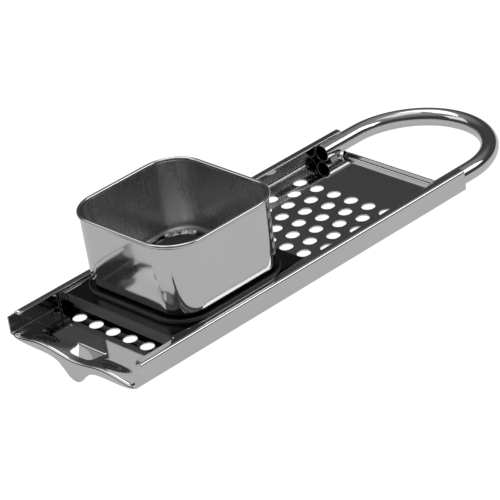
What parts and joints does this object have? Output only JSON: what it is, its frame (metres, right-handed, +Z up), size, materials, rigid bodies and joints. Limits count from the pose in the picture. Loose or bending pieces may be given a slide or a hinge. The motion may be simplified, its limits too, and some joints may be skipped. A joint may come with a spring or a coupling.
{
  "type": "spaetzle slicer",
  "caption": "Steel dumpling slicer: a perforated tray with channel rails, a bent tube handle and a pot hook, and a square hopper on a black slide.",
  "frame": {"origin": "centre of the hole field on the tray's flat underside", "axes": "+X along the tray towards the handle, +Z up out of the hopper's mouth"},
  "size_m": [0.3054, 0.099, 0.068],
  "materials": {
    "tray_steel": "polished stainless sheet with fine rolling lines",
    "tube_steel": "polished stainless tube",
    "weld_steel": "ground weld",
    "slide_plastic": "smooth moulded black plastic",
    "hopper_steel": "polished deep-drawn stainless sheet"
  },
  "bodies": {
    "tray": {"perforated_floor": "tray_steel", "front_apron": "tray_steel", "rim_tab": "tray_steel", "left_wall": "tray_steel", "left_lip": "tray_steel", "right_wall": "tray_steel", "right_lip": "tray_steel", "handle_tube": "tube_steel", "handle_welds": "weld_steel"},
    "slide": {"slide_plate": "slide_plastic", "slide_runners": "tray_steel", "hopper_base": "slide_plastic", "hopper_shell": "hopper_steel", "outlet_collar": "hopper_steel", "rim_bead": "hopper_steel"}
  },
  "joints": [
    {"name": "hopper_slide", "type": "slide", "parent": "tray", "child": "slide", "axis": [1, 0, 0], "range_m": [-0.0276, 0.0865]}
  ]
}
